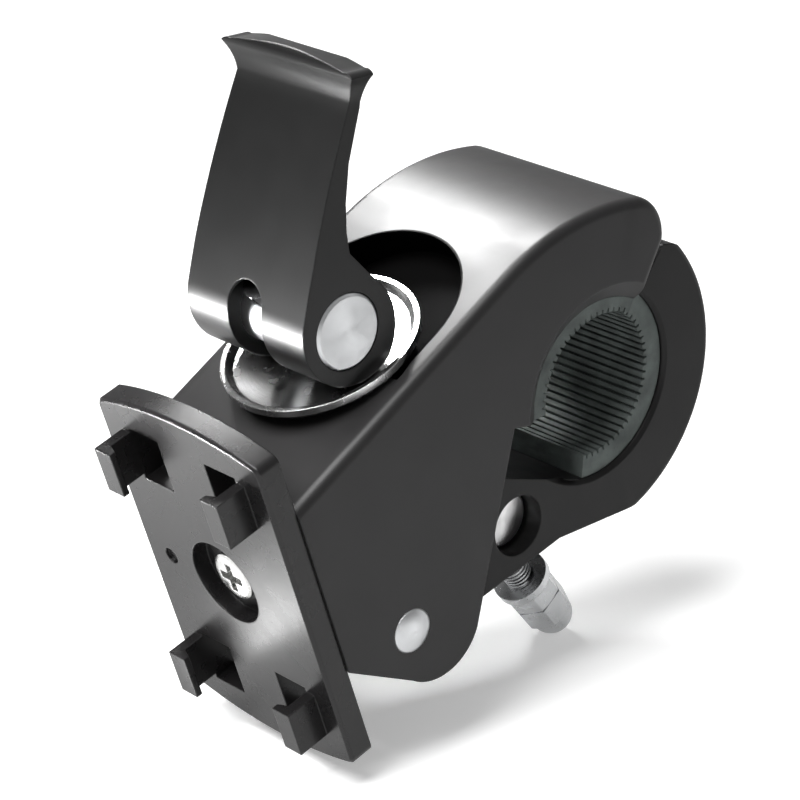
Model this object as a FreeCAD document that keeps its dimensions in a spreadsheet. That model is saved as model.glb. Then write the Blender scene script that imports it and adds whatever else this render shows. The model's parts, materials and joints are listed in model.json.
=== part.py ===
"""Bicycle phone mount: a hinged handlebar clamp with a cam lever and a claw plate.

Units are millimetres. X runs along the handlebar, -Y is the front where the phone
plate faces, +Z is up, and the origin is the centre of the clamped bar.
"""
import FreeCAD, Part
import math
import os
import re
import Sketcher

doc = FreeCAD.newDocument("phone_mount")
sheet = doc.addObject("Spreadsheet::Sheet", "Sizes")

# Driving sizes, one cell each. Angles are in degrees from the front, turning up.
SIZES = {
    # bar and liners
    "bar_dia": 25.4,
    "liner_wall": 2.5,
    "lower_liner_wall": 3.9,
    "rib_depth": 0.7,
    "rib_step": 5.6,
    "rib_land": 3.2,
    "rib_slope": 0.5,
    "upper_liner_inset": 2.2,
    "lower_liner_inset": 1.0,
    # housing side outline
    "housing_width": 40.0,
    "cheek_wall": 3.6,
    "crown_height": 31.6,
    "crown_radius": 45.0,
    "crown_back_angle": 7.5,
    "tail_angle": 117.0,
    "tail_reach": 25.8,
    "tail_round": 7.5,
    "ramp_angle": 31.8,
    "chin_height": 31.5,
    "heel_front": 43.0,
    "heel_drop": 37.4,
    "heel_back": 29.2,
    "heel_back_drop": 32.5,
    "heel_round": 9.4,
    "nape_front": 21.6,
    "nape_drop": 0.5,
    "seat_low_angle": 6.0,
    "channel_drop": 6.0,
    "front_wall": 5.2,
    "mouth_flare": 3.0,
    "mouth_depth": 2.2,
    "housing_round": 1.8,
    "overcut": 0.3,
    # hook jaw
    "jaw_gap": 0.4,
    "jaw_tip_angle": 127.0,
    "jaw_tip_reach": 25.4,
    "jaw_outer": 27.6,
    "jaw_belly_angle": 243.0,
    "jaw_belly_front": 7.0,
    "jaw_belly_drop": 25.2,
    "jaw_lip_angle": 274.0,
    "jaw_tip_round": 8.0,
    "jaw_tip_run": 11.0,
    "jaw_neck_front": 20.0,
    "jaw_neck_drop": 10.8,
    "jaw_flare": 0.6,
    "jaw_boss": 7.0,
    "jaw_round": 1.4,
    "pivot_front": 43.2,
    "pivot_drop": 28.6,
    "pivot_dia": 6.0,
    "rivet_dia": 7.4,
    "rivet_dome": 0.9,
    "running_gap": 0.06,
    # pull rod, its cross barrel and nuts
    "pin_front": 50.6,
    "pin_height": 21.2,
    "rod_lean": 39.5,
    "rod_dia": 4.9,
    "rod_length": 91.4,
    "rod_head_dia": 7.2,
    "rod_head_top": 7.6,
    "rod_passage": 6.4,
    "rod_rock_room": 3.2,
    "rod_way_reach": 18.0,
    "barrel_depth": 53.5,
    "barrel_dia": 10.2,
    "barrel_inset": 3.5,
    "barrel_hole": 5.9,
    "slot_back_swing": 22.0,
    "nut_flats": 8.0,
    "nut_washer_dia": 10.0,
    "nut_washer_thick": 1.6,
    "nut_depth": 80.5,
    "lock_nut_height": 4.5,
    "cap_hex_height": 5.0,
    "cap_dome": 3.8,
    "cap_straight": 1.0,
    "corner_turning": 0.1,
    "cap_bore_stop": 1.6,
    # lever, its pin and the dished washer
    "pin_dia": 12.2,
    "pin_proud": 0.3,
    "pin_chamfer": 0.5,
    "pin_cross_hole": 6.3,
    "ear_inset": 1.4,
    "tip_flare": 1.3,
    "crease_inset": 0.8,
    "cam_radius": 9.92,
    "cam_offset": 1.535,
    "cam_offset_angle": 140.0,
    "cam_gap": 0.3,
    "cam_back_angle": 223.6,
    "arm_lean": 14.5,
    "arm_bow": 195.0,
    "crease_back": 1.3,
    "crease_drop": 6.6,
    "crease_round": 9.0,
    "lip_depth": 4.4,
    "lip_drop": 2.2,
    "lip_round": 2.0,
    "arm_top": 41.4,
    "arm_crown": 70.0,
    "lever_slot": 7.9,
    "lever_slot_top": 6.5,
    "head_room": 8.75,
    "seat_lean": 24.0,
    "dish_margin": 3.7,
    "dish_lip": 1.2,
    "dish_thick": 1.2,
    "dish_rise": 1.1,
    "dish_hole": 8.6,
    "dish_room": 0.6,
    "dish_bend": 5.0,
    "seat_step": 1.5,
    "boss_depth": 12.0,
    "recess_reach": 14.0,
    "hood_wall": 3.6,
    "pocket_back": 26.0,
    "pocket_depth": 20.0,
    # claw plate and its screw
    "plate_front": 60.2,
    "plate_drop": 19.4,
    "plate_lean": 18.4,
    "plate_width": 39.0,
    "plate_height": 63.0,
    "plate_thick": 4.2,
    "plate_crown": 75.0,
    "plate_corner": 1.6,
    "plate_edge": 0.5,
    "recess_dia": 15.0,
    "recess_floor": 1.2,
    "claw_row": 20.6,
    "claw_span": 29.8,
    "claw_wall": 2.0,
    "claw_lip": 1.9,
    "claw_lip_thick": 1.8,
    "claw_height": 5.6,
    "claw_length": 8.0,
    "window_width": 7.2,
    "window_length": 9.6,
    "dimple_dia": 2.9,
    "dimple_side": 13.4,
    "dimple_depth": 0.6,
    "screw_dia": 3.9,
    "screw_head_dia": 8.4,
    "screw_head_height": 1.7,
    "screw_hole": 4.3,
    "screw_tip": 1.0,
    "screw_chamfer": 0.4,
    "nut_room": 0.1,
    "plate_nut_flats": 7.0,
    "plate_nut_height": 3.0,
}

for row, (name, value) in enumerate(SIZES.items(), start=1):
    sheet.set(f"A{row}", name)
    sheet.set(f"B{row}", str(value))
    sheet.setAlias(f"B{row}", name)
doc.recompute()

SIZE_WORDS = re.compile(r"\b(" + "|".join(sorted(SIZES, key=len, reverse=True)) + r")\b")


def linked(formula):
    """Point every size word of a formula at its cell."""
    return SIZE_WORDS.sub(r"Sizes.\1", formula)


def worth(formula):
    """Number that a formula gives now."""
    return float(sheet.evalExpression(linked(formula)))


# Places that several pieces share, as (y, z) formulas; front distances are -y.
SEAT = "(bar_dia / 2 + liner_wall)"
JAW_SEAT = "(bar_dia / 2 + lower_liner_wall)"
PIVOT = ("-pivot_front", "-pivot_drop")
PIN = ("-pin_front", "pin_height")
BARREL = (
    "(-pin_front + barrel_depth * sin(rod_lean))",
    "(pin_height - barrel_depth * cos(rod_lean))",
)
DISH_FLOOR = "(cam_radius + cam_offset * cos(cam_offset_angle + seat_lean - 270) + cam_gap)"
DISH_DEPTH = f"({DISH_FLOOR} / cos(rod_lean - seat_lean))"
DISH = (
    f"(-pin_front + {DISH_DEPTH} * sin(rod_lean))",
    f"(pin_height - {DISH_DEPTH} * cos(rod_lean))",
)
CHANNEL_HALF = "(housing_width / 2 - cheek_wall)"
JAW_WIDTH = f"({CHANNEL_HALF} * 2 - 2 * jaw_gap)"
UPPER_LINER = "(housing_width - 2 * upper_liner_inset)"
LOWER_LINER = f"({JAW_WIDTH} - 2 * lower_liner_inset)"
BARREL_LENGTH = f"({JAW_WIDTH} - 2 * barrel_inset)"
POCKET_HALF = "(housing_width / 2 - hood_wall)"
DISH_RADIUS = "(housing_width / 2 - dish_margin)"
DISH_FLAT = f"({DISH_RADIUS} - dish_lip)"
LEVER_HALF = f"({DISH_FLAT} - ear_inset)"
CREASE = "(arm_top - crease_drop)"

# A round end's radius is a hair over half its width, so its arc stays under a half circle.
ROUND_END = "1.0001"

# Back of the lever's arm: distance behind the pin, and share of the crease's height.
ARM_BACK = ((0.9, 0.747), (0.1, 0.575), (0.1, 0.445), (0.6, 0.35), (5.6, 0.2))


def front_face_y(z_formula, inset="0"):
    """y of the leaning front face at a height, moved inwards by an inset."""
    return (
        f"(-plate_front - ({z_formula} + plate_drop) * tan(plate_lean)"
        f" + {inset} / cos(plate_lean))"
    )


class Plane:
    """Sketch plane of a body: an origin plane, moved and turned by formulas."""

    def __init__(self, role, base=("0", "0", "0"), turn="0"):
        self.role = role
        self.base = base
        self.turn = turn


SIDE = Plane("YZ_Plane")
FLAT = Plane("XY_Plane")
UPRIGHT = Plane("XZ_Plane")


def new_body(name, place=("0", "0", "0"), turn="0"):
    """Body with its own label, set at a place and turned about X."""
    body = doc.addObject("PartDesign::Body", name)
    body.Label = name
    for axis, formula in zip("xyz", place):
        body.setExpression(f"Placement.Base.{axis}", linked(formula))
    if turn != "0":
        body.Placement.Rotation = FreeCAD.Rotation(FreeCAD.Vector(1, 0, 0), worth(turn))
        body.setExpression("Placement.Rotation.Angle", linked(turn))
    return body


def new_sketch(body, name, plane):
    """Sketch on one of the body's origin planes."""
    sketch = body.newObject("Sketcher::SketchObject", f"{body.Name}_{name}")
    support = next(f for f in body.Origin.OriginFeatures if f.Role == plane.role)
    sketch.AttachmentSupport = [(support, "")]
    sketch.MapMode = "FlatFace"
    if plane.turn != "0":
        turned = FreeCAD.Rotation(FreeCAD.Vector(1, 0, 0), worth(plane.turn))
        sketch.AttachmentOffset = FreeCAD.Placement(FreeCAD.Vector(), turned)
        sketch.setExpression("AttachmentOffset.Rotation.Angle", linked(plane.turn))
    for axis, formula in zip("xyz", plane.base):
        if formula != "0":
            sketch.setExpression(f"AttachmentOffset.Base.{axis}", linked(formula))
    return sketch


def fix(sketch, kind, formula, *where):
    """Dimension bound to a formula."""
    index = sketch.addConstraint(Sketcher.Constraint(kind, *where, worth(formula)))
    sketch.setExpression(f"Constraints[{index}]", linked(formula))


def circle(sketch, radius, centre=("0", "0")):
    """Circle with a bound centre and radius."""
    middle = FreeCAD.Vector(worth(centre[0]), worth(centre[1]), 0)
    shape = Part.Circle(middle, FreeCAD.Vector(0, 0, 1), worth(radius))
    index = sketch.addGeometry(shape)
    fix(sketch, "DistanceX", centre[0], -1, 1, index, 3)
    fix(sketch, "DistanceY", centre[1], -1, 1, index, 3)
    fix(sketch, "Radius", radius, index)


def arc_between(start, end, radius, far):
    """Arc through two points with its bulge to the right of the way from start to end.

    A negative radius bulges to the left; far takes the longer way round.
    """
    chord = end.sub(start)
    half = chord.Length / 2
    side = 1 if radius > 0 else -1
    rise = math.sqrt(max(radius * radius - half * half, 0))
    across = FreeCAD.Vector(-chord.y, chord.x, 0).normalize() * side
    if far:
        rise = -rise
    centre = start.add(chord * 0.5).add(across * rise)
    reach = abs(radius)
    top = centre.sub(across * reach)
    return Part.Arc(start, top, end)


def outline(sketch, corners, arcs=None):
    """Closed line through corners; arcs maps a corner to (radius, far) of its next edge."""
    arcs = arcs or {}
    points = [FreeCAD.Vector(worth(x), worth(y), 0) for x, y in corners]
    first = sketch.GeometryCount
    starts = []
    for number, start in enumerate(points):
        end = points[(number + 1) % len(points)]
        if number in arcs:
            radius, far = arcs[number]
            curve = arc_between(start, end, worth(radius), far)
            index = sketch.addGeometry(curve)
            made = sketch.getPoint(index, 1)
            starts.append(1 if made.sub(start).Length < 1e-6 else 2)
        else:
            sketch.addGeometry(Part.LineSegment(start, end))
            starts.append(1)
    count = len(points)
    for number in range(count):
        here = first + number
        after = first + (number + 1) % count
        joint = Sketcher.Constraint(
            "Coincident", here, 3 - starts[number], after, starts[(number + 1) % count]
        )
        sketch.addConstraint(joint)
    for number, (x, y) in enumerate(corners):
        fix(sketch, "DistanceX", x, -1, 1, first + number, starts[number])
        fix(sketch, "DistanceY", y, -1, 1, first + number, starts[number])
    for number, (radius, far) in arcs.items():
        size = radius[1:] if radius.startswith("-") else radius
        fix(sketch, "Radius", size, first + number)


def finished(feature, sketch, both=None, one=None, reverse=False, through=False):
    """Set a pad or pocket: both gives a symmetric length, one a length to one side."""
    feature.Profile = sketch
    sketch.Visibility = False
    if through:
        feature.Type = "ThroughAll"
        feature.SideType = "Symmetric"
    elif both:
        feature.SideType = "Symmetric"
        feature.setExpression("Length", linked(both))
    else:
        feature.setExpression("Length", linked(one))
        feature.Reversed = reverse
    doc.recompute()
    return feature


def pad(body, name, sketch, **how):
    return finished(body.newObject("PartDesign::Pad", f"{body.Name}_{name}"), sketch, **how)


def pocket(body, name, sketch, **how):
    return finished(body.newObject("PartDesign::Pocket", f"{body.Name}_{name}"), sketch, **how)


def spin(body, name, sketch, axis, cut=False, angle="360"):
    """Revolution or groove of a sketch about one of its own axes."""
    kind = "PartDesign::Groove" if cut else "PartDesign::Revolution"
    feature = body.newObject(kind, f"{body.Name}_{name}")
    feature.Profile = sketch
    feature.ReferenceAxis = (sketch, [axis])
    feature.Angle = worth(angle)
    doc.recompute()
    return feature


def soften(body, name, kind, size, chosen):
    """Fillet or chamfer of the edges that a test picks on the body's last feature."""
    base = body.Tip
    names = [
        f"Edge{number}"
        for number, edge in enumerate(base.Shape.Edges, start=1)
        if chosen(edge)
    ]
    feature = body.newObject(f"PartDesign::{kind}", f"{body.Name}_{name}")
    feature.Base = (base, names)
    cell = "Radius" if kind == "Fillet" else "Size"
    feature.setExpression(cell, linked(size))
    doc.recompute()
    return feature


def hexagon(flats, centre=("0", "0")):
    """Corners of a hexagon with a bound width across flats."""
    return [
        (
            f"{centre[0]} + {flats} / 2 / cos(30) * cos({60 * k + 30})",
            f"{centre[1]} + {flats} / 2 / cos(30) * sin({60 * k + 30})",
        )
        for k in range(6)
    ]


def polar(radius, angle):
    """Point at a radius and an angle from the bar's centre, as (y, z)."""
    return (f"-{radius} * cos({angle})", f"{radius} * sin({angle})")


# Planes square to the pull rod, with their normal up the rod. Sketch x is X and
# sketch y points up and back along the washer's seat.
def rod_plane(depth="0"):
    return Plane(
        "XY_Plane",
        ("0", f"-pin_front + ({depth}) * sin(rod_lean)", f"pin_height - ({depth}) * cos(rod_lean)"),
        "rod_lean",
    )


# Planes parallel to the dished washer, at a height over its floor. The washer leans less
# than the rod is square to, so it lies along the ramp.
def seat_plane(height):
    return Plane(
        "XY_Plane",
        (
            "0",
            f"{DISH[0]} - ({height}) * sin(seat_lean)",
            f"{DISH[1]} + ({height}) * cos(seat_lean)",
        ),
        "seat_lean",
    )


# Planes parallel to the claw plate, with their normal out of its front.
def plate_plane(inset="0"):
    return Plane(
        "XY_Plane",
        (
            "0",
            f"-plate_front + ({inset}) * cos(plate_lean)",
            f"-plate_drop + ({inset}) * sin(plate_lean)",
        ),
        "90 + plate_lean",
    )


def make_housing():
    """Upper jaw, hood, ramp, two cheeks and front wall in one casting."""
    body = new_body("housing")
    sketch = new_sketch(body, "side", SIDE)
    ramp_top_y = "(-crown_radius * sin(ramp_angle))"
    ramp_top_z = "(crown_height - crown_radius * (1 - cos(ramp_angle)))"
    brow_z = (
        f"(({ramp_top_z} - (plate_front + {ramp_top_y} + plate_drop * tan(plate_lean))"
        " * tan(ramp_angle)) / (1 + tan(plate_lean) * tan(ramp_angle)))"
    )
    corners = [
        polar(SEAT, "seat_low_angle * (-1)"),
        polar(SEAT, "tail_angle"),
        polar("tail_reach", "tail_angle"),
        (
            "crown_radius * sin(crown_back_angle)",
            "crown_height - crown_radius * (1 - cos(crown_back_angle))",
        ),
        (ramp_top_y, ramp_top_z),
        (front_face_y(brow_z), brow_z),
        (front_face_y("(-chin_height)"), "-chin_height"),
        ("-heel_front", "-heel_drop"),
        ("-heel_back", "-heel_back_drop"),
        ("-nape_front", "-nape_drop"),
    ]
    arcs = {
        0: (f"-{SEAT}", False),
        2: ("tail_round", False),
        3: ("crown_radius", False),
        7: ("heel_round", False),
    }
    outline(sketch, corners, arcs)
    pad(body, "block", sketch, both="housing_width")

    sketch = new_sketch(body, "channel", SIDE)
    inner = "front_wall"
    outline(
        sketch,
        [
            ("0", "-channel_drop"),
            (front_face_y("(-channel_drop)", inner), "-channel_drop"),
            (front_face_y("(-heel_drop * 1.2)", inner), "-heel_drop * 1.2"),
            ("0", "-heel_drop * 1.2"),
        ],
    )
    pocket(body, "channel_cut", sketch, both=f"{CHANNEL_HALF} * 2")

    sketch = new_sketch(body, "hood_pocket", rod_plane())
    round_y = f"(pocket_back - {POCKET_HALF})"
    outline(
        sketch,
        [
            (f"-{POCKET_HALF}", "0"),
            (POCKET_HALF, "0"),
            (POCKET_HALF, round_y),
            (f"-{POCKET_HALF}", round_y),
        ],
        {2: (f"{POCKET_HALF} * {ROUND_END}", False)},
    )
    pocket(body, "hood_cut", sketch, one="pocket_depth")

    sketch = new_sketch(body, "seat_boss", seat_plane("-dish_thick"))
    circle(sketch, f"({DISH_FLAT} - seat_step)")
    pad(body, "boss", sketch, one="boss_depth", reverse=True)

    sketch = new_sketch(body, "dish_recess", seat_plane("recess_reach"))
    circle(sketch, f"({DISH_RADIUS} + dish_room)")
    pocket(body, "recess", sketch, one="recess_reach + dish_thick")

    sketch = new_sketch(body, "rod_slot", rod_plane())
    half = "rod_passage / 2"
    outline(
        sketch,
        [(half, "-rod_rock_room"), (half, "0"), (f"-{half}", "0"), (f"-{half}", "-rod_rock_room")],
        {1: (f"{half} * {ROUND_END}", False), 3: (f"{half} * {ROUND_END}", False)},
    )
    pocket(body, "rod_passage", sketch, one="barrel_depth * 0.8")

    sketch = new_sketch(body, "pivot_hole", SIDE)
    circle(sketch, "pivot_dia / 2", PIVOT)
    pocket(body, "pivot_bore", sketch, through=True)

    sketch = new_sketch(body, "screw_hole", plate_plane())
    circle(sketch, "screw_hole / 2")
    pocket(body, "screw_bore", sketch, one="front_wall * 1.5")

    sketch = new_sketch(body, "nut_seat", plate_plane("front_wall - plate_nut_height"))
    outline(sketch, hexagon("(plate_nut_flats + nut_room)"))
    pocket(body, "nut_pocket", sketch, one="plate_nut_height * 1.5")

    sketch = new_sketch(body, "mouth", UPRIGHT)
    for side in ("1", "-1"):
        slope = "(mouth_flare / mouth_depth)"
        outline(
            sketch,
            [
                (
                    f"{side} * (housing_width / 2 - mouth_depth - overcut / {slope})",
                    f"{SEAT} - overcut",
                ),
                (f"{side} * (housing_width / 2 + overcut)", f"{SEAT} - overcut"),
                (
                    f"{side} * (housing_width / 2 + overcut)",
                    f"{SEAT} + mouth_flare + overcut * {slope}",
                ),
            ],
        )
    spin(body, "mouth_chamfer", sketch, "H_Axis", cut=True)

    limit = worth("housing_width") / 2
    low = worth("-channel_drop")

    def rim(edge):
        box = edge.BoundBox
        flat = abs(abs(box.XMin) - limit) < 0.01 and box.XLength < 0.01
        long = edge.Length > 3 * worth("housing_round")
        middle = edge.valueAt((edge.FirstParameter + edge.LastParameter) / 2)
        reach = math.hypot(middle.y, middle.z)
        return flat and long and middle.z > low and reach > worth(SEAT) + worth("mouth_flare") + 1

    soften(body, "edge_round", "Fillet", "housing_round", rim)
    return body


def make_liner(name, seat, length, first, last):
    """Ribbed rubber liner: a sector of a ring with lands along the bar."""
    body = new_body(name)
    sketch = new_sketch(body, "sector", SIDE)
    outline(
        sketch,
        [
            polar(seat, last),
            polar(seat, first),
            polar("(bar_dia / 2)", first),
            polar("(bar_dia / 2)", last),
        ],
        {0: (seat, False), 2: ("-bar_dia / 2", False)},
    )
    pad(body, "ring", sketch, both=length)
    sketch = new_sketch(body, "grooves", SIDE)
    count = int((worth(last) - worth(first)) / worth("rib_step"))
    margin = f"(({last} - {first} - {count} * rib_step + rib_land) / 2)"
    for number in range(count):
        start = f"({first} + {margin} + {number} * rib_step)"
        stop = f"({start} + rib_step - rib_land)"
        inner = "(bar_dia / 2 - overcut)"
        outline(
            sketch,
            [
                polar(inner, start),
                polar("(bar_dia / 2 + rib_depth)", f"({start} + rib_slope)"),
                polar("(bar_dia / 2 + rib_depth)", f"({stop} - rib_slope)"),
                polar(inner, stop),
            ],
        )
    pocket(body, "ribs", sketch, through=True)
    return body


def make_lower_jaw():
    """Hook-shaped jaw with its arm, pivot boss and cross bore."""
    body = new_body("lower_jaw")
    sketch = new_sketch(body, "side", SIDE)
    reach = "sqrt((pivot_front - jaw_belly_front) ^ 2 + (pivot_drop - jaw_belly_drop) ^ 2)"
    dip = "atan((pivot_drop - jaw_belly_drop) / (pivot_front - jaw_belly_front))"
    belly = f"(270 deg - {dip} - asin(jaw_boss / {reach}))"
    neck_reach = "sqrt((pivot_front - jaw_neck_front) ^ 2 + (pivot_drop - jaw_neck_drop) ^ 2)"
    neck_dip = "atan((pivot_drop - jaw_neck_drop) / (pivot_front - jaw_neck_front))"
    neck = f"(90 deg - {neck_dip} + asin(jaw_boss / {neck_reach}))"
    corners = [
        polar(JAW_SEAT, "jaw_lip_angle"),
        polar(JAW_SEAT, "jaw_tip_angle"),
        polar("jaw_tip_reach", "jaw_tip_angle"),
        polar("jaw_outer", "(jaw_tip_angle + jaw_tip_run)"),
        polar("jaw_outer", "jaw_belly_angle"),
        ("-jaw_belly_front", "-jaw_belly_drop"),
        (
            f"-pivot_front - jaw_boss * cos({belly})",
            f"-pivot_drop + jaw_boss * sin({belly})",
        ),
        (
            f"-pivot_front - jaw_boss * cos({neck})",
            f"-pivot_drop + jaw_boss * sin({neck})",
        ),
        ("-jaw_neck_front", "-jaw_neck_drop"),
    ]
    arcs = {
        0: (JAW_SEAT, False),
        2: ("-jaw_tip_round", False),
        3: ("-jaw_outer", False),
        6: ("-jaw_boss", False),
    }
    outline(sketch, corners, arcs)
    pad(body, "block", sketch, both=JAW_WIDTH)

    sketch = new_sketch(body, "barrel_hole", SIDE)
    circle(sketch, "barrel_dia / 2 + running_gap", BARREL)
    pocket(body, "barrel_bore", sketch, through=True)

    sketch = new_sketch(body, "pivot_hole", SIDE)
    circle(sketch, "pivot_dia / 2 + running_gap", PIVOT)
    pocket(body, "pivot_bore", sketch, through=True)

    # The rod tilts in the jaw as it opens, so its way through widens up and down.
    for label, turned in (("upper", "0"), ("lower", "180")):
        sketch = new_sketch(body, f"{label}_rod_way", SIDE)
        along = f"(90 - rod_lean + {turned})"
        back = f"({along} - slot_back_swing)"
        half = "(rod_passage / 2)"
        far = "rod_way_reach"
        corners = [
            (
                f"{BARREL[0]} - {half} * cos({along} + 90)",
                f"{BARREL[1]} + {half} * sin({along} + 90)",
            ),
            (
                f"{BARREL[0]} - {half} * cos({along} + 90) - {far} * cos({along})",
                f"{BARREL[1]} + {half} * sin({along} + 90) + {far} * sin({along})",
            ),
            (
                f"{BARREL[0]} + {half} * cos({back} + 90) - {far} * cos({back})",
                f"{BARREL[1]} - {half} * sin({back} + 90) + {far} * sin({back})",
            ),
            (
                f"{BARREL[0]} + {half} * cos({back} + 90)",
                f"{BARREL[1]} - {half} * sin({back} + 90)",
            ),
        ]
        outline(sketch, corners)
        pocket(body, f"{label}_way_cut", sketch, both="rod_passage")

    sketch = new_sketch(body, "mouth", UPRIGHT)
    half_width = f"{JAW_WIDTH} / 2"
    for side in ("1", "-1"):
        outline(
            sketch,
            [
                (f"{side} * ({half_width} - jaw_flare - overcut)", f"{JAW_SEAT} - overcut"),
                (f"{side} * ({half_width} + overcut)", f"{JAW_SEAT} - overcut"),
                (f"{side} * ({half_width} + overcut)", f"{JAW_SEAT} + jaw_flare + overcut"),
            ],
        )
    spin(body, "mouth_chamfer", sketch, "H_Axis", cut=True)

    limit = worth(JAW_WIDTH) / 2

    def rim(edge):
        box = edge.BoundBox
        flat = abs(abs(box.XMin) - limit) < 0.01 and box.XLength < 0.01
        middle = edge.valueAt((edge.FirstParameter + edge.LastParameter) / 2)
        reach = math.hypot(middle.y, middle.z)
        outer = reach > worth("jaw_outer") - worth("jaw_round")
        return flat and outer and middle.y > 0 and edge.Length > worth("jaw_outer") / 2

    soften(body, "edge_round", "Fillet", "jaw_round", rim)
    return body


def make_pivot_pin():
    """Rivet through both cheeks, with a low dome on each end."""
    body = new_body("jaw_pivot_pin", ("0",) + PIVOT)
    sketch = new_sketch(body, "section", UPRIGHT)
    end = "housing_width / 2"
    outline(
        sketch,
        [
            (f"-{end} - rivet_dome", "0"),
            (f"{end} + rivet_dome", "0"),
            (end, "rivet_dia / 2"),
            (end, "pivot_dia / 2"),
            (f"-{end}", "pivot_dia / 2"),
            (f"-{end}", "rivet_dia / 2"),
        ],
        {
            1: ("(rivet_dia ^ 2 / 4 + rivet_dome ^ 2) / 2 / rivet_dome", False),
            5: ("(rivet_dia ^ 2 / 4 + rivet_dome ^ 2) / 2 / rivet_dome", False),
        },
    )
    spin(body, "rivet", sketch, "H_Axis")
    return body


def make_barrel():
    """Cross barrel in the jaw, drilled for the rod."""
    body = new_body("jaw_barrel", ("0",) + BARREL, "rod_lean")
    sketch = new_sketch(body, "round", SIDE)
    circle(sketch, "barrel_dia / 2")
    pad(body, "cylinder", sketch, both=BARREL_LENGTH)
    sketch = new_sketch(body, "cross_hole", FLAT)
    circle(sketch, "barrel_hole / 2")
    pocket(body, "cross_bore", sketch, through=True)
    soften(body, "ends", "Chamfer", "pin_chamfer", end_circle(BARREL_LENGTH, "barrel_dia"))
    return body


def end_circle(length, diameter):
    """Test for the two rim circles of a pin that lies along X."""

    def rim(edge):
        box = edge.BoundBox
        at_end = box.XLength < 0.01 and abs(abs(box.XMin) - worth(length) / 2) < 0.01
        return at_end and box.YLength > worth(diameter) * 0.9

    return rim


def make_lever_pin():
    """Silver pin of the lever with a cross hole for the pull rod."""
    body = new_body("lever_pin", ("0",) + PIN, "rod_lean")
    length = f"(2 * {LEVER_HALF} + 2 * pin_proud)"
    sketch = new_sketch(body, "round", SIDE)
    circle(sketch, "pin_dia / 2")
    pad(body, "cylinder", sketch, both=length)
    sketch = new_sketch(body, "cross_hole", FLAT)
    circle(sketch, "pin_cross_hole / 2")
    pocket(body, "cross_bore", sketch, through=True)
    soften(body, "ends", "Chamfer", "pin_chamfer", end_circle(length, "pin_dia"))
    return body


def make_draw_rod():
    """Pull rod with a head that rocks on the lever pin."""
    body = new_body("draw_rod", ("0",) + PIN, "rod_lean")
    sketch = new_sketch(body, "head", FLAT)
    circle(sketch, "rod_head_dia / 2")
    pad(body, "head_block", sketch, one="rod_head_top")
    sketch = new_sketch(body, "pin_seat", SIDE)
    circle(sketch, "pin_dia / 2 + running_gap")
    pocket(body, "pin_hollow", sketch, through=True)
    sketch = new_sketch(body, "shank", Plane("XY_Plane", ("0", "0", "rod_head_top - 1")))
    circle(sketch, "rod_dia / 2")
    pad(body, "shank_rod", sketch, one="rod_length + rod_head_top - 1", reverse=True)
    return body


def rod_body(name):
    """Body in the rod's frame: its Z runs up the rod from the lever pin's centre."""
    return new_body(name, ("0",) + PIN, "rod_lean")


def level(depth):
    return Plane("XY_Plane", ("0", "0", f"-({depth})"))


def make_nut_washer():
    body = rod_body("nut_washer")
    sketch = new_sketch(body, "ring", level("nut_depth"))
    circle(sketch, "nut_washer_dia / 2")
    circle(sketch, "rod_dia / 2 + running_gap")
    pad(body, "disc", sketch, one="nut_washer_thick")
    return body


def make_lock_nut():
    body = rod_body("lock_nut")
    sketch = new_sketch(body, "hexagon", level("nut_depth"))
    outline(sketch, hexagon("nut_flats"))
    circle(sketch, "rod_dia / 2 + running_gap")
    pad(body, "prism", sketch, one="lock_nut_height", reverse=True)
    chamfer_hex(body, "nut_depth", "nut_depth + lock_nut_height")
    return body


def chamfer_hex(body, top, bottom):
    """Turn the corners of a hexagon off at 30 degrees, at one or both ends."""
    sketch = new_sketch(body, "corner_turning", UPRIGHT)
    inner = "(nut_flats / 2 - corner_turning)"
    outer = "(nut_flats / 2 / cos(30) + corner_turning)"
    drop = f"({outer} - {inner}) * tan(30)"
    for end, side in ((top, "-"), (bottom, "+")):
        if end:
            outline(
                sketch,
                [
                    (inner, f"-({end})"),
                    (outer, f"-({end})"),
                    (outer, f"-({end}) {side} {drop}"),
                ],
            )
    spin(body, "corners", sketch, "V_Axis", cut=True)


def make_cap_nut():
    """Acorn nut: hexagon below the lock nut with a dome on its end."""
    body = rod_body("cap_nut")
    top = "(nut_depth + lock_nut_height)"
    under = f"({top} + cap_hex_height)"
    sketch = new_sketch(body, "hexagon", level(top))
    outline(sketch, hexagon("nut_flats"))
    pad(body, "prism", sketch, one="cap_hex_height", reverse=True)
    chamfer_hex(body, None, under)
    sketch = new_sketch(body, "dome_section", UPRIGHT)
    outline(
        sketch,
        [
            ("0", f"-{under} + overcut"),
            ("0", f"-{under} - cap_straight - cap_dome"),
            ("cap_dome", f"-{under} - cap_straight"),
            ("cap_dome", f"-{under} + overcut"),
        ],
        {1: ("cap_dome", False)},
    )
    spin(body, "dome", sketch, "V_Axis")
    sketch = new_sketch(body, "thread_hole", level(top))
    circle(sketch, "rod_dia / 2 + running_gap")
    pocket(body, "blind_bore", sketch, one="cap_hex_height + cap_bore_stop + 1")
    return body


def make_cup_washer():
    """Dished steel washer that the cam presses on, with its rim turned up."""
    body = new_body("cup_washer", ("0",) + DISH, "seat_lean")
    sketch = new_sketch(body, "section", UPRIGHT)
    outline(
        sketch,
        [
            ("dish_hole / 2", "0"),
            ("dish_hole / 2", "-dish_thick"),
            (DISH_FLAT, "-dish_thick"),
            (DISH_RADIUS, "dish_rise - dish_thick"),
            (DISH_RADIUS, "dish_rise"),
            (f"{DISH_RADIUS} - dish_thick * 0.7", "dish_rise"),
            (f"{DISH_FLAT} - dish_thick * 0.5", "0"),
        ],
        {2: ("(dish_bend + dish_thick)", False), 5: ("-dish_bend", False)},
    )
    spin(body, "dish", sketch, "V_Axis")
    return body


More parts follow.
